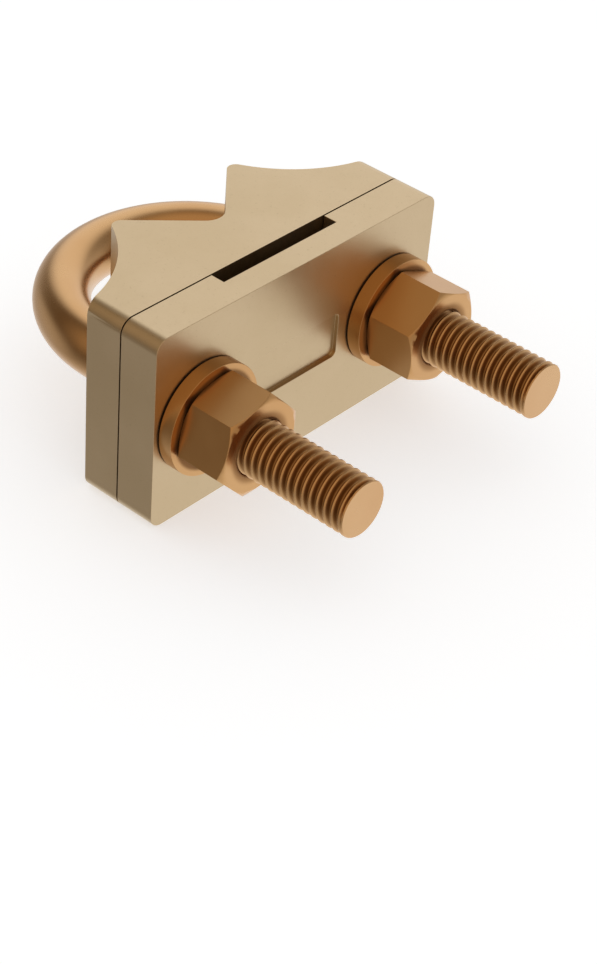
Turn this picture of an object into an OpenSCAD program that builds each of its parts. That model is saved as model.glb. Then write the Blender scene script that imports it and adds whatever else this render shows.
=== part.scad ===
// U-bolt rod clamp: two plates, a U-bolt, two washers and two nuts.
// The seat's axis is Z, the studs point to -Y and the plates lie across X.
// The origin is on the seat's axis at half the plates' height.

/* [Fastener size] */
// diameter of the U-bolt's bar and of its threads (M10)
bar_d = 10; // [6:0.5:16]
// distance between the two legs, middle to middle
leg_spacing = 45.2; // [40:0.2:60]
// length of the studs in front of the front plate
stud_l = 34; // [26:0.5:50]
// chamfer at the studs' free ends
stud_chamfer = 0.4; // [0.1:0.1:1.5]

/* [Seat] */
// diameter of the bar that the clamp is made to close on
seat_d = 20; // [16:0.5:22]
// angle of each seat wall from the plates' faces
seat_angle = 42.5; // [35:0.5:50]
// distance from the saddle's flat face to the sharp root of the seat
seat_root = 9.6; // [7:0.1:14]
// fillet radius in the root of the seat
seat_root_r = 3.5; // [1:0.1:5]
// length of each seat wall from the sharp root to the tip round
seat_wall_l = 17; // [15:0.2:18]

/* [Plates] */
// length of both plates
plate_l = 67; // [62:0.5:80]
// height of both plates
plate_h = 36.6; // [26:0.2:50]
// thickness of the front plate
front_t = 7.7; // [6:0.1:12]
// thickness of the saddle at its two ends
end_t = 7.3; // [5:0.1:9]
// radius of the plates' four corners
corner_r = 2.5; // [0.5:0.1:5]
// radius of the saddle's hollow flanks
flank_r = 26.4; // [22:0.2:32]
// radius of the saddle's two tips
tip_r = 1.7; // [1:0.1:2.2]

/* [Tape recess] */
// width of the recess that takes the flat tape
tape_w = 27; // [20:0.5:30]
// depth of the recess in the front plate
tape_d = 2.7; // [1:0.1:4]

/* [Sunken panel] */
// width of the shallow panel between the nuts
panel_w = 20.4; // [12:0.2:22]
// height of the shallow panel
panel_h = 8.6; // [5:0.2:20]
// depth of the shallow panel
panel_d = 0.7; // [0.3:0.1:1.5]
// corner radius of the shallow panel
panel_r = 1; // [0.3:0.1:2]

/* [Washers] */
// outer diameter of each washer
washer_od = 20; // [18:0.2:21]
// thickness of each washer
washer_t = 2.6; // [1.6:0.1:4]

/* [Nuts] */
// width of each nut across its flats
nut_af = 16; // [14:0.5:18]
// height of each nut
nut_h = 9.8; // [6:0.2:12]
// angle of the corner chamfers from the nut's end faces
nut_chamfer_angle = 30; // [15:1:40]
// width of the flat ring that the corner chamfers take off the flats
nut_chamfer_land = 0.1; // [0:0.05:0.5]
// depth of the countersinks in the nut's bore
nut_countersink = 0.5; // [0.2:0.1:1]
// turn of the left nut's corner from +X
left_nut_angle = 13.9; // [0:0.1:60]
// turn of the right nut's corner from +X
right_nut_angle = 37.1; // [0:0.1:60]

/* [Clearances] */
// gap between the closed plates
joint_gap = 0.25; // [0:0.05:0.5]
// gap between the front plate and each washer
washer_gap = 0.25; // [0:0.05:0.5]
// gap between each washer and its nut
nut_gap = 0.02; // [0:0.01:0.2]
// radial clearance of the plates' holes round the legs
hole_clear = 0.5; // [0.1:0.05:1]
// radial clearance of the washers round the legs
washer_clear = 0.25; // [0.1:0.05:0.5]
// radial running clearance of the nuts round the legs
thread_clear = 0.05; // [0.01:0.01:0.1]

/* [Hidden] */
$fn = 128;
// cutters reach this far past the faces that they open
past = 1;
// rounds bite this much into the faces that they meet
blend = 0.001;
// outward unit vector of the right seat wall, seen into the metal
wall_n = [sin(seat_angle), -cos(seat_angle)];
// direction of the right seat wall, away from the root
wall_u = [cos(seat_angle), sin(seat_angle)];
// root, end of the wall, middle of the tip round, all from the saddle's flat face
root = [0, seat_root];
wall_end = root + seat_wall_l * wall_u;
tip_c = wall_end + tip_r * wall_n;
// the flank passes through the plate's end and meets the tip round
flank_end = [plate_l / 2, end_t];
flank_span = norm(flank_end - tip_c);
flank_a = (pow(flank_r + tip_r, 2) - pow(flank_r, 2) + pow(flank_span, 2)) / (2 * flank_span);
flank_b = sqrt(pow(flank_r + tip_r, 2) - pow(flank_a, 2));
flank_u = (flank_end - tip_c) / flank_span;
flank_c = tip_c + flank_a * flank_u + flank_b * [-flank_u[1], flank_u[0]];
tip_end = tip_c + tip_r * (flank_c - tip_c) / (flank_r + tip_r);
// the root fillet's middle, and where it meets the right wall
fillet_c = root + [0, seat_root_r / cos(seat_angle)];
fillet_end = fillet_c + seat_root_r * wall_n;
// the seat's axis, measured from the front plate's rear face
seat_y = joint_gap + seat_root + seat_d / 2 / cos(seat_angle);
// the bow closes on the seated bar
bow_r = leg_spacing / 2;
bow_y = seat_y + seat_d / 2 - (bow_r - bar_d / 2);
stud_end = -front_t - stud_l;
hole_d = bar_d + 2 * hole_clear;
washer_y = -front_t - washer_gap;
nut_y = washer_y - washer_t - nut_gap;
// radius where the nut's corner chamfer leaves the end faces
nut_face_r = nut_af / 2 - nut_chamfer_land;
nut_corner_r = nut_af / 2 / cos(30);
nut_chamfer_h = (nut_corner_r - nut_face_r) * tan(nut_chamfer_angle);
nut_bore_r = bar_d / 2 + thread_clear;

// a rectangle with round corners, round the middle
module round_rect(w, h, r) {
    square([w - 2 * r, h], center = true);
    square([w, h - 2 * r], center = true);
    for (sx = [-1, 1], sy = [-1, 1])
        translate([sx * (w / 2 - r), sy * (h / 2 - r)]) circle(r);
}

// an outline in X and Z, pushed from y0 towards -Y by t
module push(y0, t) {
    translate([0, y0, 0]) rotate([90, 0, 0]) linear_extrude(t) children();
}

// a round bar along Y from y0 towards -Y
module bar_y(x, y0, d, l) {
    translate([x, y0, 0]) rotate([90, 0, 0]) cylinder(d = d, h = l);
}

// both plates share the leg holes
module leg_holes(y0, l) {
    for (sx = [-1, 1]) bar_y(sx * leg_spacing / 2, y0, hole_d, l);
}

// everything is drawn from the front plate's rear face and set on the seat's axis
module on_seat() {
    translate([0, -seat_y, 0]) children();
}

module front_plate() {
    color([0.78, 0.69, 0.54]) on_seat() difference() {
        push(0, front_t) round_rect(plate_l, plate_h, corner_r);
        translate([-tape_w / 2, -tape_d, -plate_h / 2 - past])
            cube([tape_w, tape_d + past, plate_h + 2 * past]);
        leg_holes(past, front_t + 2 * past);
        push(-front_t + panel_d, panel_d + past) round_rect(panel_w, panel_h, panel_r);
    }
}

// the saddle's outline, from its flat face: two horns round the seat, and hollow flanks
module saddle_outline() {
    half = [[plate_l / 2, 0], [plate_l / 2, flank_c[1]], tip_end, tip_c, wall_end, fillet_end];
    difference() {
        polygon(concat(half, [fillet_c], [for (i = [len(half) - 1:-1:0]) [-half[i][0], half[i][1]]]));
        for (sx = [-1, 1]) translate([sx * flank_c[0], flank_c[1]]) circle(flank_r);
        translate(fillet_c) circle(seat_root_r + blend);
    }
    for (sx = [-1, 1]) translate([sx * tip_c[0], tip_c[1]]) circle(tip_r + blend);
}

module back_plate() {
    color([0.78, 0.69, 0.54]) on_seat() difference() {
        intersection() {
            translate([0, joint_gap, -plate_h / 2]) linear_extrude(plate_h) saddle_outline();
            push(joint_gap + wall_end[1] + 2 * tip_r + past, wall_end[1] + 2 * tip_r + 2 * past)
                round_rect(plate_l, plate_h, corner_r);
        }
        leg_holes(joint_gap + wall_end[1] + 2 * tip_r, wall_end[1] + 2 * tip_r + past);
    }
}

module u_bolt() {
    color([0.64, 0.43, 0.22]) on_seat() {
        translate([0, bow_y, 0]) rotate_extrude(angle = 180)
            translate([bow_r, 0]) circle(d = bar_d);
        for (sx = [-1, 1]) {
            bar_y(sx * bow_r, bow_y, bar_d, bow_y - stud_end - stud_chamfer);
            translate([sx * bow_r, stud_end + stud_chamfer, 0]) rotate([90, 0, 0])
                cylinder(d1 = bar_d, d2 = bar_d - 2 * stud_chamfer, h = stud_chamfer);
        }
    }
}

module washer(side) {
    color([0.7, 0.48, 0.26]) on_seat() difference() {
        bar_y(side * leg_spacing / 2, washer_y, washer_od, washer_t);
        bar_y(side * leg_spacing / 2, washer_y + past, bar_d + 2 * washer_clear, washer_t + 2 * past);
    }
}

// the cone that opens the mouth of a nut's bore
module countersink() {
    translate([0, 0, -past])
        cylinder(r1 = nut_bore_r + nut_countersink + past, r2 = nut_bore_r, h = nut_countersink + past);
}

// a hexagon nut with its corners turned off at both ends and a countersunk bore
module nut(side, angle) {
    color([0.7, 0.48, 0.26]) on_seat()
        translate([side * leg_spacing / 2, nut_y, 0]) rotate([90, 0, 0]) rotate([0, 0, angle])
            difference() {
                intersection() {
                    cylinder(r = nut_corner_r, h = nut_h, $fn = 6);
                    rotate_extrude() polygon([[0, 0], [nut_face_r, 0],
                        [nut_corner_r + past, nut_chamfer_h + past * tan(nut_chamfer_angle)],
                        [nut_corner_r + past, nut_h - nut_chamfer_h - past * tan(nut_chamfer_angle)],
                        [nut_face_r, nut_h], [0, nut_h]]);
                }
                translate([0, 0, -past]) cylinder(r = nut_bore_r, h = nut_h + 2 * past);
                countersink();
                translate([0, 0, nut_h]) mirror([0, 0, 1]) countersink();
            }
}

module left_washer() washer(-1);
module right_washer() washer(1);
module left_nut() nut(-1, left_nut_angle);
module right_nut() nut(1, right_nut_angle);

front_plate();
back_plate();
u_bolt();
left_washer();
right_washer();
left_nut();
right_nut();
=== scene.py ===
"""U-bolt rod clamp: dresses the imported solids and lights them.

The plates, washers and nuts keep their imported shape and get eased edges. The U-bolt and the
nuts get real threads. All lengths are in metres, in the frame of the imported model.
"""

import math
from dataclasses import dataclass

import bmesh
import bpy
from mathutils import Matrix, Vector


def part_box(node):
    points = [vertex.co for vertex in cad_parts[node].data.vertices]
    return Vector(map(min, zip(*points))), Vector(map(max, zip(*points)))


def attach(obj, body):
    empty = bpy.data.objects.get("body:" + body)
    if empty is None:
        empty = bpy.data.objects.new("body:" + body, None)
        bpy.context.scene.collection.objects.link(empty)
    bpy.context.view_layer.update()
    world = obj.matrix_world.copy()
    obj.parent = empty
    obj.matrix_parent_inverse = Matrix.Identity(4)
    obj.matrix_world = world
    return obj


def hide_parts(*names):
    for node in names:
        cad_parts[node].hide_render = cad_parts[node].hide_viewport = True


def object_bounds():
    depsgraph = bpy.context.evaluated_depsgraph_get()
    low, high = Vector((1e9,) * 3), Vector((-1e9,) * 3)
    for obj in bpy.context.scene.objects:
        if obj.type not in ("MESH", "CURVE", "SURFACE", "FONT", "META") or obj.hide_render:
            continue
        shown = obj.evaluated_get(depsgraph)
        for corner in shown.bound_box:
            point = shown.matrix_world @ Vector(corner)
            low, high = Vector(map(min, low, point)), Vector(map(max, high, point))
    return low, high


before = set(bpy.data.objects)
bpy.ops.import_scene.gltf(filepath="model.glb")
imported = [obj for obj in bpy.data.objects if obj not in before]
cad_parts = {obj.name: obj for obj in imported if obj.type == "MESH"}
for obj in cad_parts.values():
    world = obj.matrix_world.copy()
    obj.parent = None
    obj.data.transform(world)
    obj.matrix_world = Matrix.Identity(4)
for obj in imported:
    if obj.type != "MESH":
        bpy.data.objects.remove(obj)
CAD_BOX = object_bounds()

bl_info = {
    "name": "U-Bolt Rod Clamp",
    "version": (1, 0, 0),
    "blender": (4, 5, 0),
    "location": "3D View > Sidebar > Rod Clamp",
    "description": "Builds the plates, U-bolt, washers and nuts of a rod clamp, and its studio",
    "category": "Object",
}

MM = 0.001
SIDES = {"left": -1, "right": 1}

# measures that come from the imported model
BOLT_LOW, BOLT_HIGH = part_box("u_bolt")
WASHER_LOW, WASHER_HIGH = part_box("right_washer")
NUT_LOW, NUT_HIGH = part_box("left_nut")
LEG_X = (WASHER_LOW.x + WASHER_HIGH.x) / 2
WASHER_R = (WASHER_HIGH.x - WASHER_LOW.x) / 2
BAR_R = BOLT_HIGH.x - LEG_X
BOW_Y = BOLT_HIGH.y - BAR_R - LEG_X
STUD_END_Y = BOLT_LOW.y
NUT_MIDDLE_Y = (NUT_LOW.y + NUT_HIGH.y) / 2

# the floor lies just under the plates, so that no two faces share a plane
FLOOR_Z = CAD_BOX[0].z - 0.05 * MM
FLOOR_HALF = 3.0
# what the camera sees of it in full light, a little above white
FLOOR_LEVEL = 1.02

# points nearer than this are one point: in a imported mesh, in what a tree makes, in the U-bolt
PACKED_WELD = 0.001 * MM
GROWN_WELD = 0.002 * MM
BOLT_WELD = 0.004 * MM
# a sewn nut is welded finely, and its slivers are dissolved
NUT_WELD = 0.0005 * MM
NUT_SLIVER = 0.002 * MM

# triangles that turn less than this against each other are one flat face
FLAT_ANGLE = math.radians(0.3)
# edges that turn more than this are sharp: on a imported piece, a nut with its thread, the U-bolt
SHARP_ANGLE = math.radians(30)
NUT_SHARP_ANGLE = math.radians(42)
BOLT_SHARP_ANGLE = math.radians(40)

# the studio's four lights: the way to each from the clamp, and the two cosines to that way
# between which it rises from nothing to its full level
LOW_LIGHT = (0.6, 0.0, -0.8), -0.5, 0.9
HIGH_LIGHT = (0.75, 0.5, 0.43), 0.70, 0.96
FILL_LIGHT = (-0.6, -0.45, 0.66), 0.1, 0.75
REAR_LIGHT = (-0.25, 0.92, -0.3), 0.80, 0.98
# how steeply the low light falls off
LOW_LIGHT_POWER = 1.6

# the camera's direction and roll in degrees, the point that it is turned round, and the
# picture's shift in parts of its longer side
CAMERA_AZIMUTH = -50.079
CAMERA_HEIGHT = 38.021
CAMERA_ROLL = 4.385
CAMERA_TARGET = Vector((4.2445, -23.413, -34.243)) * MM
CAMERA_SHIFT = (0.03236, 0.00623)


# node helpers


class Value:
    """A socket whose arithmetic adds Math nodes to its tree."""

    def __init__(self, sheet, socket):
        self.sheet = sheet
        self.socket = socket

    def math(self, operation, *others):
        return self.sheet.number(operation, self, *others)

    def __add__(self, other):
        return self.math("ADD", other)

    __radd__ = __add__

    def __sub__(self, other):
        return self.math("SUBTRACT", other)

    def __rsub__(self, other):
        return self.sheet.number("SUBTRACT", other, self)

    def __mul__(self, other):
        return self.math("MULTIPLY", other)

    __rmul__ = __mul__

    def __truediv__(self, other):
        return self.math("DIVIDE", other)

    def __rtruediv__(self, other):
        return self.sheet.number("DIVIDE", other, self)

    def __lt__(self, other):
        return self.math("LESS_THAN", other)

    def __gt__(self, other):
        return self.math("GREATER_THAN", other)

    def out(self, name):
        """Another output of the same node."""
        return Value(self.sheet, self.socket.node.outputs[name])


class Sheet:
    """The nodes of one tree."""

    def __init__(self, tree):
        self.tree = tree
        tree.nodes.clear()

    def add(self, kind, settings=None, sockets=None):
        """A node of that kind: its settings are made first, then its sockets' values or links."""
        node = self.tree.nodes.new(kind)
        for name, setting in (settings or {}).items():
            setattr(node, name, setting)
        for key, value in (sockets or {}).items():
            self.put(node.inputs[key], value)
        return Value(self, next((s for s in node.outputs if s.enabled), None))

    def put(self, socket, value):
        if isinstance(value, Value):
            self.tree.links.new(value.socket, socket)
        else:
            socket.default_value = value

    def number(self, operation, *values):
        return self.add("ShaderNodeMath", {"operation": operation}, dict(enumerate(values)))

    def least(self, a, b):
        return self.number("MINIMUM", a, b)

    def most(self, a, b):
        return self.number("MAXIMUM", a, b)

    def dot(self, a, b):
        vectors = {0: a, 1: b}
        return self.add("ShaderNodeVectorMath", {"operation": "DOT_PRODUCT"}, vectors).out("Value")

    def parts(self, vector):
        """The X of a vector, whose node also holds its Y and Z."""
        return self.add("ShaderNodeSeparateXYZ", {}, {0: vector})

    def ramp(self, value, low, high, to_low=0.0, to_high=1.0, smooth=True):
        """value carried from low..high to to_low..to_high, held at both ends."""
        settings = {"interpolation_type": "SMOOTHSTEP" if smooth else "LINEAR"}
        names = ("Value", "From Min", "From Max", "To Min", "To Max")
        sockets = dict(zip(names, (value, low, high, to_low, to_high)))
        return self.add("ShaderNodeMapRange", settings, sockets)

    def mix_colour(self, factor, a, b):
        # a Mix node keeps its factor and its two colours at these numbers
        mixed = self.add("ShaderNodeMix", {"data_type": "RGBA"}, {0: factor, 6: a, 7: b})
        return Value(self, mixed.socket.node.outputs[2])


# geometry nodes


def new_tree(name, inputs):
    """An empty geometry tree with named inputs. Returns its sheet and its inputs' values."""
    tree = bpy.data.node_groups.new(name, "GeometryNodeTree")
    sheet = Sheet(tree)
    kinds = {float: "NodeSocketFloat", int: "NodeSocketInt"}
    for label, default in inputs.items():
        kind = kinds.get(type(default), "NodeSocketMaterial")
        socket = tree.interface.new_socket(label, in_out="INPUT", socket_type=kind)
        if default is not None:
            socket.default_value = default
    tree.interface.new_socket("Geometry", in_out="OUTPUT", socket_type="NodeSocketGeometry")
    node = tree.nodes.new("NodeGroupInput")
    return sheet, {label: Value(sheet, node.outputs[label]) for label in inputs}


def close_tree(sheet, geometry, material):
    """Realizes, welds, smooths and paints what a tree made."""
    for kind, sockets in (
        ("GeometryNodeRealizeInstances", {}),
        ("GeometryNodeMergeByDistance", {"Distance": GROWN_WELD}),
        ("GeometryNodeSetShadeSmooth", {}),
        ("GeometryNodeSetMaterial", {"Material": material}),
        ("NodeGroupOutput", {}),
    ):
        geometry = sheet.add(kind, {}, {"Geometry": geometry, **sockets})


def rows_and_turn(sheet, rows, segments):
    """A grid, the number of each point's row, and how far round it lies, from 0 to 1."""
    sockets = {"Size X": 1.0, "Size Y": 1.0, "Vertices X": rows, "Vertices Y": segments + 1}
    grid = sheet.add("GeometryNodeMeshGrid", {}, sockets)
    place = sheet.parts(sheet.add("GeometryNodeInputPosition"))
    row = ((place.out("X") + 0.5) * (rows - 1)).math("ROUND")
    turn = ((place.out("Y") + 0.5) * segments).math("ROUND") / segments
    return grid, row, turn


def set_place(sheet, grid, x, y, z, turned=True):
    """The grid's points moved to these places, with its faces turned over where asked."""
    place = sheet.add("ShaderNodeCombineXYZ", {}, {"X": x, "Y": y, "Z": z})
    moved = sheet.add("GeometryNodeSetPosition", {}, {"Geometry": grid, "Position": place})
    return sheet.add("GeometryNodeFlipFaces", {}, {"Mesh": moved, "Selection": turned})


def thread_tree():
    """One right-hand helical surface along +Y, for a stud or, with mouths, for a nut's bore."""
    sheet, put = new_tree(
        "Screw Thread",
        {
            "Rows Per Turn": 20,
            "Segments": 48,
            "Length": 42 * MM,
            "Crest Radius": 5 * MM,
            "Depth": 0.88 * MM,
            "Crest Width": 0.0,
            "Root Width": 0.10,
            "Pitch": 1.5 * MM,
            "Phase": 0.0,
            "Start Fade": 0.6 * MM,
            "Threaded Length": 40 * MM,
            "Run Out": 2.5 * MM,
            "Start Radius": 4.8 * MM,
            "Mouth Radius": 0.0,
            "Cap": 1.0,
            "Axis X": 0.0,
            "Start Y": 0.0,
            "Material": None,
        },
    )
    # the rows climb with the helix: the first ones lie below it all round and the last ones
    # above it, so that both ends come out square once the rows are held to its length
    rows_below, rows_above = 2, 5
    pitch, length = put["Pitch"], put["Length"]
    step = pitch / put["Rows Per Turn"]
    rows = (length / step).math("CEIL") + put["Rows Per Turn"] + rows_above
    grid, row, turn = rows_and_turn(sheet, rows, put["Segments"])
    start = (row - rows_below) * step - pitch
    along = sheet.most(sheet.least(start + pitch * turn, length), 0.0)
    # 0 on the crests and 1 in the roots, with rounded changes into the flanks
    wave = ((start + put["Phase"]) / pitch).math("FRACT")
    wave = 1 - (wave * 2 - 1).math("ABSOLUTE")
    groove = sheet.ramp(wave, put["Crest Width"], 1 - put["Root Width"])
    fade_in = sheet.ramp(along, 0.25 * put["Start Fade"], put["Start Fade"])
    threaded = put["Threaded Length"]
    fade_out = 1 - sheet.ramp(along, threaded - put["Run Out"], threaded)
    radius = put["Crest Radius"] - put["Depth"] * groove * fade_in * fade_out
    # the start's chamfer, and the mouths at both ends of a bore
    radius = sheet.least(radius, put["Start Radius"] + along)
    radius = sheet.most(radius, put["Mouth Radius"] - along)
    radius = sheet.most(radius, put["Mouth Radius"] - (length - along))
    # a cap draws the first row together to the middle of a stud's end
    radius = radius * (1 - put["Cap"] * (row < 0.5))
    angle = turn * math.tau
    x = put["Axis X"] + radius * angle.math("COSINE")
    z = 0 - radius * angle.math("SINE")
    outward = put["Cap"] > 0.5
    surface = set_place(sheet, grid, x, put["Start Y"] + along, z, outward)
    close_tree(sheet, surface, put["Material"])
    return sheet.tree


def bow_tree():
    """The plain part of the U-bolt: two shanks and the bow between them."""
    sheet, put = new_tree(
        "U-Bolt Bow",
        {
            "Rows": 97,
            "Segments": 48,
            "Bar Radius": 5 * MM,
            "Bow Radius": 22.6 * MM,
            "Bow Y": -7.6 * MM,
            "Shank Length": 15 * MM,
            "Material": None,
        },
    )
    grid, row, turn = rows_and_turn(sheet, put["Rows"], put["Segments"])
    bow_r, shank = put["Bow Radius"], put["Shank Length"]
    path = (row / (put["Rows"] - 1)) * (shank * 2 + bow_r * math.pi)
    before = sheet.most(shank - path, 0.0)
    after = sheet.most(path - shank - bow_r * math.pi, 0.0)
    bend = sheet.most(sheet.least((path - shank) / bow_r, math.pi), 0.0)
    angle = turn * math.tau
    out = put["Bar Radius"] * angle.math("COSINE") + bow_r
    x = 0 - out * bend.math("COSINE")
    y = put["Bow Y"] + out * bend.math("SINE") - before - after
    z = put["Bar Radius"] * angle.math("SINE")
    close_tree(sheet, set_place(sheet, grid, x, y, z), put["Material"])
    return sheet.tree


def plain_mesh(name, obj):
    """The mesh that an object's modifiers make."""
    graph = bpy.context.evaluated_depsgraph_get()
    mesh = bpy.data.meshes.new_from_object(obj.evaluated_get(graph), depsgraph=graph)
    mesh.name = name
    return mesh


def grown(name, tree, values):
    """A plain mesh that the tree makes with these input values."""
    carrier = bpy.data.objects.new(name + "_carrier", bpy.data.meshes.new(name + "_carrier"))
    bpy.context.scene.collection.objects.link(carrier)
    modifier = carrier.modifiers.new("Grow", "NODES")
    modifier.node_group = tree
    for item in tree.interface.items_tree:
        if item.in_out == "INPUT" and item.name in values:
            modifier[item.identifier] = values[item.name]
    mesh = plain_mesh(name, carrier)
    carrier.modifiers.remove(modifier)
    bpy.data.objects.remove(carrier)
    return mesh


# mesh helpers


def place_piece(name, mesh, body, material):
    """Sets a finished mesh in the scene: linked, painted and riding on its body."""
    piece = bpy.data.objects.new(name, mesh)
    bpy.context.scene.collection.objects.link(piece)
    mesh.materials.clear()
    mesh.materials.append(material)
    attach(piece, body)
    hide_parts(body)


def merged_copy(node):
    """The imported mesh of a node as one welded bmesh, with its flat faces made whole."""
    shell = bmesh.new()
    shell.from_mesh(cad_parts[node].data)
    bmesh.ops.remove_doubles(shell, verts=shell.verts, dist=PACKED_WELD)
    bmesh.ops.dissolve_limit(
        shell,
        angle_limit=FLAT_ANGLE,
        verts=shell.verts,
        edges=shell.edges,
        delimit={"NORMAL"},
    )
    return shell


def opened_copy(node, sign):
    """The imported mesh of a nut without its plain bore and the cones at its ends."""
    shell = merged_copy(node)
    axis = Vector((sign * LEG_X, 0.0, 0.0))
    across = Vector((1.0, 0.0, 1.0))
    bore_reach = BAR_R + 1 * MM
    inner = [
        face
        for face in shell.faces
        if all(((vert.co - axis) * across).length < bore_reach for vert in face.verts)
    ]
    bmesh.ops.delete(shell, geom=inner, context="FACES")
    return shell


def written(shell, mesh):
    """Puts a bmesh into a mesh, smooth all over, and frees it."""
    shell.to_mesh(mesh)
    shell.free()
    mesh.shade_smooth()


def joined(mesh, bore):
    """Sews a threaded bore to the two open rims of a nut's mesh."""
    shell = bmesh.new()
    shell.from_mesh(mesh)
    shell.from_mesh(bore)
    bpy.data.meshes.remove(bore)
    for low in (True, False):
        rims = [
            edge
            for edge in shell.edges
            if edge.is_boundary and (edge.verts[0].co.y < NUT_MIDDLE_Y) == low
        ]
        bmesh.ops.bridge_loops(shell, edges=rims)
    bmesh.ops.remove_doubles(shell, verts=shell.verts, dist=NUT_WELD)
    bmesh.ops.dissolve_degenerate(shell, edges=shell.edges, dist=NUT_SLIVER)
    bmesh.ops.recalc_face_normals(shell, faces=shell.faces)
    written(shell, mesh)


def levelled(mesh):
    """Gives flat faces across an axis their true normal and upright walls that of their profile."""
    alike = math.cos(math.radians(20))
    across_axis = 0.99999
    upright = 0.001
    least_wall = 1 * MM * MM
    same_spot = 0.01 * MM
    flats, profile = {}, {}

    def spot(vertex):
        return tuple(round(c / same_spot) for c in mesh.vertices[vertex].co.xy)

    for face in mesh.polygons:
        if max(abs(c) for c in face.normal) > across_axis:
            for vertex in face.vertices:
                flats.setdefault(vertex, []).append(face.normal.copy())
        elif abs(face.normal.z) < upright and face.area > least_wall:
            for vertex in face.vertices:
                profile.setdefault(spot(vertex), []).append(face.normal * face.area)
    normals = [corner.vector.copy() for corner in mesh.corner_normals]
    for corner, loop in enumerate(mesh.loops):
        level = [n for n in flats.get(loop.vertex_index, ()) if n.dot(normals[corner]) > alike]
        walls = profile.get(spot(loop.vertex_index), ())
        walls = [n for n in walls if n.normalized().dot(normals[corner]) > alike]
        if level:
            normals[corner] = level[0]
        elif walls:
            normals[corner] = sum(walls, Vector()).normalized()
    mesh.normals_split_custom_set(normals)


def eased(name, shell, width, bore=None):
    """A mesh from a bmesh, with its sharp edges eased and, on a nut, the threaded bore sewn in."""
    mesh = bpy.data.meshes.new(name + "_sharp")
    written(shell, mesh)
    mesh.set_sharp_from_angle(angle=SHARP_ANGLE)
    source = bpy.data.objects.new(name + "_sharp", mesh)
    bpy.context.scene.collection.objects.link(source)
    bevel = source.modifiers.new("Eased Edges", "BEVEL")
    bevel.width = width
    bevel.segments = 2
    bevel.limit_method = "ANGLE"
    bevel.angle_limit = SHARP_ANGLE
    bevel.harden_normals = bore is None
    bevel.use_clamp_overlap = True
    finished = plain_mesh(name, source)
    if bore is None:
        levelled(finished)
    else:
        joined(finished, bore)
        finished.set_sharp_from_angle(angle=NUT_SHARP_ANGLE)
        source.modifiers.remove(bevel)
        source.data = finished
        level = source.modifiers.new("Level Faces", "WEIGHTED_NORMAL")
        level.keep_sharp = True
        finished = plain_mesh(name, source)
    bpy.data.objects.remove(source)
    return finished


# materials


@dataclass
class Alloy:
    """How a bare metal departs from one even colour and gloss."""

    # factors on the colour, in the darker patches and on rubbed edges
    patch_tint: tuple
    edge_tint: tuple
    # how far the fine grain and the patches change the roughness
    grain: float
    patch: float
    # how strongly the specks show
    speck: float
    # height of the fine grain and depth of the specks' pits, as parts of BUMP_HEIGHT
    grain_height: float
    pit_depth: float
    # how wide the edges are rubbed, how far they turn pale and how much roughness they lose
    edge_width: float
    edge_share: float
    edge_polish: float
    # height of the lathe marks, as a part of BUMP_HEIGHT
    mark_height: float = 0.0


GUNMETAL = Alloy(
    patch_tint=(0.93, 0.92, 0.89),
    edge_tint=(1.1, 1.1, 1.1),
    grain=0.10,
    patch=0.03,
    speck=0.35,
    grain_height=0.45,
    pit_depth=0.5,
    edge_width=0.35 * MM,
    edge_share=0.5,
    edge_polish=0.08,
)
BRONZE = Alloy(
    patch_tint=(0.94, 0.90, 0.86),
    edge_tint=(1.12, 1.12, 1.12),
    grain=0.05,
    patch=0.03,
    speck=0.05,
    grain_height=0.02,
    pit_depth=0.02,
    edge_width=0.2 * MM,
    edge_share=0.4,
    edge_polish=0.05,
    mark_height=0.04,
)

# what 1 stands for in a material's height
BUMP_HEIGHT = 0.01 * MM
# noise scales, in waves to the metre
PATCH_SCALE = 45.0
EDGE_SCALE = 420.0
GRAIN_SCALE = 900.0
SPECK_SCALE = 2600.0
# a speck's factor on the darker patches' colour, and how much rougher it is
SPECK_TINT = 0.72
SPECK_ROUGHNESS = 0.06
# distance between two lathe marks, and how far the grain shakes them, in radians
MARK_PITCH = 0.16 * MM
MARK_SHAKE = 3.0


def opaque(colour):
    """A colour's three numbers with the fourth that sockets ask for."""
    return (*colour, 1.0)


def tinted(colour, tint):
    """A metal's colour times a tint, held below 1."""
    return opaque(min(1.0, c * t) for c, t in zip(colour, tint))


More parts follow.
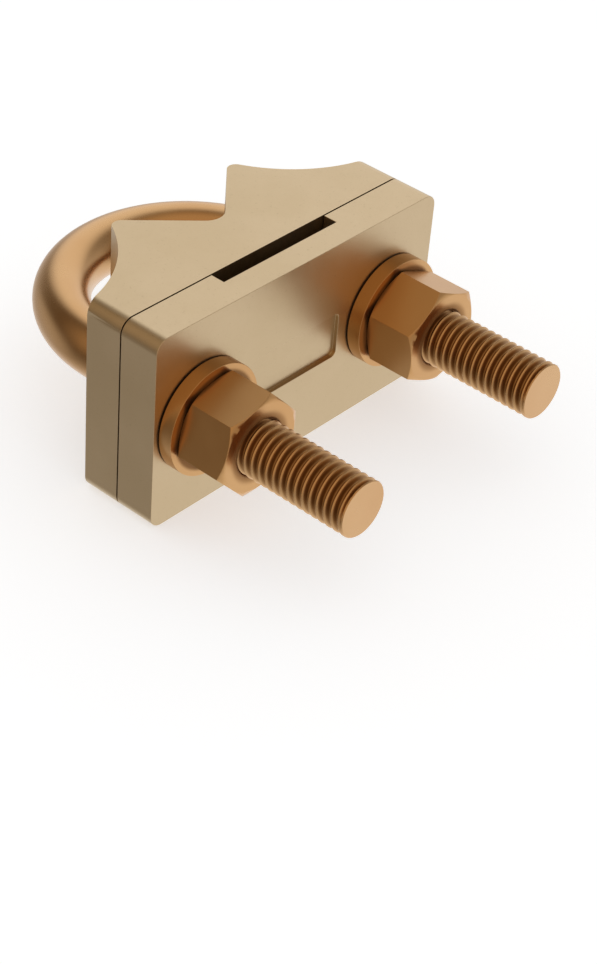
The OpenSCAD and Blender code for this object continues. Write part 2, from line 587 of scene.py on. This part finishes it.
class Metal:
    """A bare copper alloy: patchy colour, fine grain and brighter, smoother worn edges."""

    def __init__(self, name, colour, roughness, alloy):
        self.material = bpy.data.materials.new(name)
        self.material.use_nodes = True
        self.alloy = alloy
        self.sheet = sheet = Sheet(self.material.node_tree)
        self.place = sheet.add("ShaderNodeTexCoord").out("Object")
        self.face = sheet.add("ShaderNodeNewGeometry").out("Normal")
        self.grain = self.noise(GRAIN_SCALE, 4.0, 0.6)
        # the patches turn over round the noise's middle level, and the specks are its peaks
        patches = sheet.ramp(self.noise(PATCH_SCALE), 0.35, 0.65)
        specks = sheet.ramp(self.noise(SPECK_SCALE, 2.0), 0.62, 0.75)
        rubbed = self.rubbed_edges()
        dark = tinted(colour, alloy.patch_tint)
        speck_tint = [t * SPECK_TINT for t in alloy.patch_tint]
        pale = tinted(colour, alloy.edge_tint)
        tone = sheet.mix_colour(patches, dark, opaque(colour))
        tone = sheet.mix_colour(specks * alloy.speck, tone, tinted(colour, speck_tint))
        self.tone = sheet.mix_colour(rubbed * alloy.edge_share, tone, pale)
        # the grain and the patches make it as much smoother as rougher
        rough = roughness + (self.grain - 0.5) * alloy.grain + (patches - 0.5) * alloy.patch
        rough = rough + specks * alloy.speck * SPECK_ROUGHNESS
        self.rough = rough - rubbed * alloy.edge_polish
        self.height = self.grain * alloy.grain_height - specks * alloy.pit_depth

    def noise(self, scale, detail=3.0, rough=0.55):
        values = {"Vector": self.place, "Scale": scale, "Detail": detail, "Roughness": rough}
        return self.sheet.add("ShaderNodeTexNoise", {}, values)

    def rubbed_edges(self):
        """1 on the worn edges, where the rounded normal leaves the true one."""
        sheet = self.sheet
        rounded = sheet.add("ShaderNodeBevel", {"samples": 6}, {"Radius": self.alloy.edge_width})
        edges = sheet.ramp(sheet.dot(rounded, self.face), 0.98, 0.80)
        return edges * sheet.ramp(self.noise(EDGE_SCALE), 0.30, 0.60, 0.45, 1.0)

    def leg_place(self):
        """How far each point lies from the axis of the leg on its side, and its Y."""
        place = self.sheet.parts(self.place)
        x, z = place.out("X").math("ABSOLUTE") - LEG_X, place.out("Z")
        return (x * x + z * z).math("SQRT"), place.out("Y")

    def dull(self, shade_mask, colour, share, roughness):
        """Paints shade: takes up a share of a shade colour, and turns rougher, where the mask is 1.
        """
        self.tone = self.sheet.mix_colour(shade_mask * share, self.tone, opaque(colour))
        self.rough = self.rough + shade_mask * roughness

    def turn(self):
        """Adds lathe marks round the leg, on the faces across Y."""
        radius, _ = self.leg_place()
        marks = (radius * (math.tau / MARK_PITCH) + self.grain * MARK_SHAKE).math("SINE")
        across = self.sheet.parts(self.face).out("Y").math("ABSOLUTE")
        marks = marks * self.sheet.ramp(across, 0.9, 0.99)
        self.height = self.height + marks * self.alloy.mark_height

    def paint_joint_shade(self, colour, reach):
        """Paints shade into the joint of nut and washer, out to that reach from the leg's axis."""
        radius, y = self.leg_place()
        shade_mask = self.sheet.ramp((y - NUT_HIGH.y).math("ABSOLUTE"), 0.9 * MM, 0.3 * MM)
        shade_mask = shade_mask * self.sheet.ramp(radius, reach, reach - 0.8 * MM)
        self.dull(shade_mask, colour, share=0.9, roughness=0.2)

    def paint_mouth_shade(self, colour):
        """Paints shade round the stud on a nut's free face, as a darker ring that is also rougher.
        """
        radius, y = self.leg_place()
        shade_mask = self.sheet.ramp(radius, BAR_R + 1.9 * MM, BAR_R + 0.5 * MM)
        shade_mask = shade_mask * (y < NUT_LOW.y + 0.6 * MM)
        self.dull(shade_mask, colour, share=0.35, roughness=0.3)

    def paint_root_shade(self, colour):
        """Paints shade into the roots of the studs' threads, which also turn rougher."""
        radius, y = self.leg_place()
        shade_mask = self.sheet.ramp(radius, BAR_R - 0.08 * MM, BAR_R - 0.55 * MM)
        shade_mask = shade_mask * (y < BOW_Y) * (y > STUD_END_Y + 0.1 * MM)
        self.dull(shade_mask, colour, share=0.9, roughness=0.12)

    def finished(self):
        """The material, with its shader set."""
        sheet = self.sheet
        bump = {"Height": self.height, "Strength": 1.0, "Distance": BUMP_HEIGHT}
        shader = {
            "Base Color": self.tone,
            "Metallic": 1.0,
            "Roughness": self.rough,
            "Normal": sheet.add("ShaderNodeBump", {}, bump),
        }
        surface = sheet.add("ShaderNodeBsdfPrincipled", {}, shader)
        sheet.add("ShaderNodeOutputMaterial", {}, {"Surface": surface})
        return self.material


def plates_metal(finish):
    metal = Metal("Satin Gunmetal", finish.plates_colour, finish.plates_roughness, GUNMETAL)
    return metal.finished()


def bar_metal(finish):
    metal = Metal("Drawn Bronze Bar", finish.bar_colour, finish.bar_roughness, BRONZE)
    # painted shade in the thread roots
    metal.paint_root_shade(finish.shade_colour)
    return metal.finished()


def washer_metal(finish):
    metal = Metal("Washer Bronze", finish.bronze_colour, finish.nut_roughness, BRONZE)
    metal.turn()
    # painted shade in the joint under the nut
    metal.paint_joint_shade(finish.shade_colour, WASHER_R - 0.7 * MM)
    return metal.finished()


def nut_metal(finish):
    metal = Metal("Nut Bronze", finish.bronze_colour, finish.nut_roughness, BRONZE)
    metal.turn()
    # painted shade in the joint of nut and washer
    metal.paint_joint_shade(finish.shade_colour, WASHER_R + 1 * MM)
    # painted shade round the stud at the nut's mouth
    metal.paint_mouth_shade(finish.shade_colour)
    return metal.finished()


# settings


class ClampSizes(bpy.types.PropertyGroup):
    """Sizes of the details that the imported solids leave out."""

    edge_ease: bpy.props.FloatProperty(
        name="Plate Edges",
        description="Width of the eased edges of both plates",
        default=0.22 * MM,
        min=0.0,
        max=1 * MM,
        subtype="DISTANCE",
        unit="LENGTH",
    )
    washer_ease: bpy.props.FloatProperty(
        name="Washer Edges",
        description="Width of the eased edges of the washers",
        default=0.07 * MM,
        min=0.0,
        max=0.5 * MM,
        subtype="DISTANCE",
        unit="LENGTH",
    )
    nut_ease: bpy.props.FloatProperty(
        name="Nut Edges",
        description="Width of the eased corners of the nuts",
        default=0.09 * MM,
        min=0.0,
        max=0.5 * MM,
        subtype="DISTANCE",
        unit="LENGTH",
    )
    pitch: bpy.props.FloatProperty(
        name="Thread Pitch",
        description="Distance between two thread crests",
        default=1.5 * MM,
        min=0.5 * MM,
        max=3 * MM,
        subtype="DISTANCE",
        unit="LENGTH",
    )
    thread_length: bpy.props.FloatProperty(
        name="Thread Length",
        description="Length of the thread on each stud",
        default=40 * MM,
        min=20 * MM,
        max=45 * MM,
        subtype="DISTANCE",
        unit="LENGTH",
    )
    thread_depth: bpy.props.FloatProperty(
        name="Thread Depth",
        description="Depth of the stud's thread from crest to root",
        default=0.9 * MM,
        min=0.1 * MM,
        max=1.5 * MM,
        subtype="DISTANCE",
        unit="LENGTH",
    )
    thread_play: bpy.props.FloatProperty(
        name="Thread Play",
        description="Radial play between a nut's thread and its stud's",
        default=0.08 * MM,
        min=0.02 * MM,
        max=0.3 * MM,
        subtype="DISTANCE",
        unit="LENGTH",
    )
    mouth: bpy.props.FloatProperty(
        name="Nut Mouth",
        description="Radius of the countersink at the nuts' faces",
        default=5.3 * MM,
        min=5.1 * MM,
        max=5.5 * MM,
        subtype="DISTANCE",
        unit="LENGTH",
    )


class ClampFinish(bpy.types.PropertyGroup):
    """Colours and gloss of the two alloys."""

    plates_colour: bpy.props.FloatVectorProperty(
        name="Plates",
        description="Colour of the cast plates",
        default=(0.62, 0.475, 0.295),
        min=0.0,
        max=1.0,
        subtype="COLOR",
    )
    bronze_colour: bpy.props.FloatVectorProperty(
        name="Nuts and Washers",
        description="Colour of the nuts and washers",
        default=(0.64, 0.37, 0.155),
        min=0.0,
        max=1.0,
        subtype="COLOR",
    )
    bar_colour: bpy.props.FloatVectorProperty(
        name="U-Bolt",
        description="Colour of the U-bolt's bar",
        default=(0.64, 0.39, 0.185),
        min=0.0,
        max=1.0,
        subtype="COLOR",
    )
    # painted shade: the dark colour taken up in the thread roots, in the joints of nuts and washers
    # and round the nuts' mouths
    shade_colour: bpy.props.FloatVectorProperty(
        name="Painted Shade",
        description="Colour of the dull roots of the studs' threads",
        default=(0.30, 0.15, 0.05),
        min=0.0,
        max=1.0,
        subtype="COLOR",
    )
    plates_roughness: bpy.props.FloatProperty(
        name="Plates Roughness",
        description="Roughness of the plates' satin finish",
        default=0.34,
        min=0.0,
        max=1.0,
        subtype="FACTOR",
    )
    bar_roughness: bpy.props.FloatProperty(
        name="Bar Roughness",
        description="Roughness of the drawn bar",
        default=0.26,
        min=0.0,
        max=1.0,
        subtype="FACTOR",
    )
    nut_roughness: bpy.props.FloatProperty(
        name="Nut Roughness",
        description="Roughness of the nuts and washers",
        default=0.31,
        min=0.0,
        max=1.0,
        subtype="FACTOR",
    )


class ClampStudio(bpy.types.PropertyGroup):
    """The floor, the light and the camera."""

    floor_colour: bpy.props.FloatVectorProperty(
        name="Floor",
        description="Colour of the floor",
        default=(0.9, 0.9, 0.9),
        min=0.0,
        max=1.0,
        subtype="COLOR",
    )
    bright: bpy.props.FloatProperty(
        name="Bright Side",
        description="Brightness of the studio's bright side",
        default=1.08,
        min=0.0,
        max=3.0,
    )
    fill_colour: bpy.props.FloatVectorProperty(
        name="Fill Light",
        description="Light of the studio's upper left",
        default=(0.62, 0.47, 0.31),
        min=0.0,
        max=1.0,
        subtype="COLOR",
    )
    rear_light: bpy.props.FloatProperty(
        name="Rear Light",
        description="Part of the bright side's level that the rear light reaches",
        default=0.42,
        min=0.0,
        max=1.0,
        subtype="FACTOR",
    )
    floor_light: bpy.props.FloatProperty(
        name="Floor Light",
        description="Level of the light that the floor gets from the studio",
        default=0.6,
        min=0.0,
        max=1.0,
        subtype="FACTOR",
    )
    dim_colour: bpy.props.FloatVectorProperty(
        name="Dim Side",
        description="Light of the studio's dim side",
        default=(0.13, 0.095, 0.06),
        min=0.0,
        max=1.0,
        subtype="COLOR",
    )
    lens: bpy.props.FloatProperty(
        name="Lens",
        description="Focal length of the camera, in millimetres",
        default=84.02,
        min=10.0,
        max=300.0,
        unit="CAMERA",
    )
    camera_distance: bpy.props.FloatProperty(
        name="Camera Distance",
        description="Distance from the camera to the point it looks at",
        default=399.91 * MM,
        min=0.1,
        max=2.0,
        subtype="DISTANCE",
        unit="LENGTH",
    )


# operators


class CLAMP_OT_plates(bpy.types.Operator):
    """Make both cast plates with eased edges"""

    bl_idname = "rod_clamp.plates"
    bl_label = "Plates"

    def execute(self, context):
        material = plates_metal(context.scene.clamp_finish)
        ease = context.scene.clamp_sizes.edge_ease
        for node in ("front_plate", "back_plate"):
            name = node + "_casting"
            mesh = eased(name, merged_copy(node), ease)
            place_piece(name, mesh, node, material)
        return {"FINISHED"}


class CLAMP_OT_u_bolt(bpy.types.Operator):
    """Make the U-bolt with its two threaded studs"""

    bl_idname = "rod_clamp.u_bolt"
    bl_label = "U-Bolt"

    def execute(self, context):
        sizes = context.scene.clamp_sizes
        material = bar_metal(context.scene.clamp_finish)
        # a short plain neck joins each thread to its shank
        stud_length = sizes.thread_length + 2 * MM
        thread = thread_tree()
        parts = [
            grown(
                side + "_stud_thread",
                thread,
                {
                    "Length": stud_length,
                    "Crest Radius": BAR_R,
                    "Depth": sizes.thread_depth,
                    "Pitch": sizes.pitch,
                    "Threaded Length": sizes.thread_length,
                    "Axis X": sign * LEG_X,
                    "Start Y": STUD_END_Y,
                    "Material": material,
                },
            )
            for side, sign in SIDES.items()
        ]
        bow = {
            "Bar Radius": BAR_R,
            "Bow Radius": LEG_X,
            "Bow Y": BOW_Y,
            "Shank Length": BOW_Y - STUD_END_Y - stud_length,
            "Material": material,
        }
        parts.append(grown("bow", bow_tree(), bow))
        shell = bmesh.new()
        for part in parts:
            shell.from_mesh(part)
            bpy.data.meshes.remove(part)
        bmesh.ops.remove_doubles(shell, verts=shell.verts, dist=BOLT_WELD)
        bmesh.ops.recalc_face_normals(shell, faces=shell.faces)
        mesh = bpy.data.meshes.new("bent_bolt")
        written(shell, mesh)
        mesh.set_sharp_from_angle(angle=BOLT_SHARP_ANGLE)
        place_piece("bent_bolt", mesh, "u_bolt", material)
        return {"FINISHED"}


class CLAMP_OT_washers(bpy.types.Operator):
    """Make both washers with eased edges"""

    bl_idname = "rod_clamp.washers"
    bl_label = "Washers"

    def execute(self, context):
        material = washer_metal(context.scene.clamp_finish)
        ease = context.scene.clamp_sizes.washer_ease
        for side in SIDES:
            node = side + "_washer"
            name = node + "_disc"
            mesh = eased(name, merged_copy(node), ease)
            place_piece(name, mesh, node, material)
        return {"FINISHED"}


class CLAMP_OT_nuts(bpy.types.Operator):
    """Make both hexagon nuts with threaded bores"""

    bl_idname = "rod_clamp.nuts"
    bl_label = "Nuts"

    def execute(self, context):
        sizes = context.scene.clamp_sizes
        material = nut_metal(context.scene.clamp_finish)
        thread = thread_tree()
        height = NUT_HIGH.y - NUT_LOW.y
        # the thread starts and ends within this length, is a little shallower than the stud's,
        # and is in step with it
        run = 0.3 * MM
        bore = {
            "Length": height,
            "Crest Radius": BAR_R + sizes.thread_play,
            "Depth": sizes.thread_depth - 0.05 * MM,
            "Crest Width": 0.08,
            "Root Width": 0.0,
            "Pitch": sizes.pitch,
            "Phase": NUT_LOW.y - STUD_END_Y,
            "Start Fade": run,
            "Threaded Length": height,
            "Run Out": run,
            "Start Radius": sizes.mouth,
            "Mouth Radius": sizes.mouth - 0.02 * MM,
            "Cap": 0.0,
            "Start Y": NUT_LOW.y,
            "Material": material,
        }
        for side, sign in SIDES.items():
            node = side + "_nut"
            name = node + "_hexagon"
            cut = grown(node + "_bore", thread, {**bore, "Axis X": sign * LEG_X})
            mesh = eased(name, opened_copy(node, sign), sizes.nut_ease, cut)
            place_piece(name, mesh, node, material)
        return {"FINISHED"}


class CLAMP_OT_studio(bpy.types.Operator):
    """Make the floor, the light and the camera"""

    bl_idname = "rod_clamp.studio"
    bl_label = "Studio"

    def execute(self, context):
        studio = context.scene.clamp_studio
        self.make_floor(context, studio)
        self.make_world(context, studio)
        self.make_camera(context, studio)
        context.scene.view_settings.view_transform = "Standard"
        return {"FINISHED"}

    def make_floor(self, context, studio):
        """A pale floor that looks white to the camera and keeps the soft shadow."""
        mesh = bpy.data.meshes.new("studio_floor")
        half = FLOOR_HALF
        corners = [(-half, -half), (half, -half), (half, half), (-half, half)]
        mesh.from_pydata([(x, y, FLOOR_Z) for x, y in corners], [], [(0, 1, 2, 3)])
        floor = bpy.data.objects.new("studio_floor", mesh)
        context.scene.collection.objects.link(floor)
        material = bpy.data.materials.new("Pale Floor")
        material.use_nodes = True
        sheet = Sheet(material.node_tree)
        seen = sheet.add("ShaderNodeLightPath").out("Is Camera Ray")
        # the glow makes up for what the lit paper lacks
        lacking = FLOOR_LEVEL - studio.floor_colour[0] * studio.floor_light
        white = {"Color": opaque((1.0, 1.0, 1.0)), "Strength": seen * lacking}
        glow = sheet.add("ShaderNodeEmission", {}, white)
        paper = sheet.add("ShaderNodeBsdfDiffuse", {}, {"Color": opaque(studio.floor_colour)})
        both = sheet.add("ShaderNodeAddShader", {}, {0: paper, 1: glow})
        sheet.add("ShaderNodeOutputMaterial", {}, {"Surface": both})
        mesh.materials.append(material)
        floor.visible_glossy = False
        floor.visible_shadow = False

    def make_world(self, context, studio):
        """White for the camera, and a graded studio for what the metal mirrors."""
        world = bpy.data.worlds.new("Soft Studio")
        context.scene.world = world
        world.use_nodes = True
        sheet = Sheet(world.node_tree)
        toward = sheet.add("ShaderNodeTexCoord").out("Generated")

        def level(light, smooth=True):
            """How bright a light is in each direction, from 0 to 1."""
            way, dark, full = light
            cosine = sheet.dot(toward, Vector(way).normalized())
            return sheet.ramp(cosine, dark, full, smooth=smooth)

        low = level(LOW_LIGHT, smooth=False).math("POWER", LOW_LIGHT_POWER)
        rear = level(REAR_LIGHT) * studio.rear_light
        strong = sheet.most(sheet.most(low, level(HIGH_LIGHT)), rear)
        dim, fill = opaque(studio.dim_colour), opaque(studio.fill_colour)
        soft = sheet.mix_colour(level(FILL_LIGHT), dim, fill)
        light = sheet.mix_colour(strong, soft, opaque([studio.bright] * 3))
        rays = sheet.add("ShaderNodeLightPath")
        mirrored = sheet.most(rays.out("Is Glossy Ray"), rays.out("Is Transmission Ray"))
        seen = rays.out("Is Camera Ray")
        plain = seen + (1 - seen) * studio.floor_light
        tone = sheet.mix_colour(mirrored, opaque((1.0, 1.0, 1.0)), light)
        strength = plain * (1 - mirrored) + mirrored
        sky = sheet.add("ShaderNodeBackground", {}, {"Color": tone, "Strength": strength})
        sheet.add("ShaderNodeOutputWorld", {}, {"Surface": sky})

    def make_camera(self, context, studio):
        """The camera, turned round its target and rolled a little."""
        azimuth, height, roll = map(math.radians, (CAMERA_AZIMUTH, CAMERA_HEIGHT, CAMERA_ROLL))
        level = math.cos(height)
        back = Vector((math.sin(azimuth) * level, -math.cos(azimuth) * level, math.sin(height)))
        across = Vector((0, 0, 1)).cross(back).normalized()
        up = back.cross(across)
        turned_x = math.cos(roll) * across + math.sin(roll) * up
        turned_y = math.cos(roll) * up - math.sin(roll) * across
        data = bpy.data.cameras.new("product_camera")
        data.lens = studio.lens
        data.sensor_width = 36.0
        data.sensor_fit = "AUTO"
        data.shift_x, data.shift_y = CAMERA_SHIFT
        data.clip_start, data.clip_end = 0.01, 20.0
        camera = bpy.data.objects.new("product_camera", data)
        axes = Matrix((turned_x, turned_y, back)).transposed().to_4x4()
        place = CAMERA_TARGET + back * studio.camera_distance
        camera.matrix_world = Matrix.Translation(place) @ axes
        context.scene.collection.objects.link(camera)
        context.scene.camera = camera


class CLAMP_PT_panel(bpy.types.Panel):
    """Lists the sizes, colours and makers of the rod clamp"""

    bl_label = "Rod Clamp"
    bl_idname = "CLAMP_PT_panel"
    bl_space_type = "VIEW_3D"
    bl_region_type = "UI"
    bl_category = "Rod Clamp"

    def draw(self, context):
        for group in GROUPS.values():
            box = self.layout.box()
            settings = getattr(context.scene, group)
            for name in settings.__annotations__:
                box.prop(settings, name)
        for maker in MAKERS:
            self.layout.operator(maker.bl_idname)


GROUPS = {
    ClampSizes: "clamp_sizes",
    ClampFinish: "clamp_finish",
    ClampStudio: "clamp_studio",
}
MAKERS = (CLAMP_OT_studio, CLAMP_OT_plates, CLAMP_OT_u_bolt, CLAMP_OT_washers, CLAMP_OT_nuts)


def register():
    for group, name in GROUPS.items():
        bpy.utils.register_class(group)
        setattr(bpy.types.Scene, name, bpy.props.PointerProperty(type=group))
    for kind in (*MAKERS, CLAMP_PT_panel):
        bpy.utils.register_class(kind)


def unregister():
    for kind in (CLAMP_PT_panel, *reversed(MAKERS)):
        bpy.utils.unregister_class(kind)
    for group, name in GROUPS.items():
        delattr(bpy.types.Scene, name)
        bpy.utils.unregister_class(group)


def main():
    register()
    for maker in MAKERS:
        family, _, action = maker.bl_idname.partition(".")
        getattr(getattr(bpy.ops, family), action)()


if __name__ == "__main__":
    main()
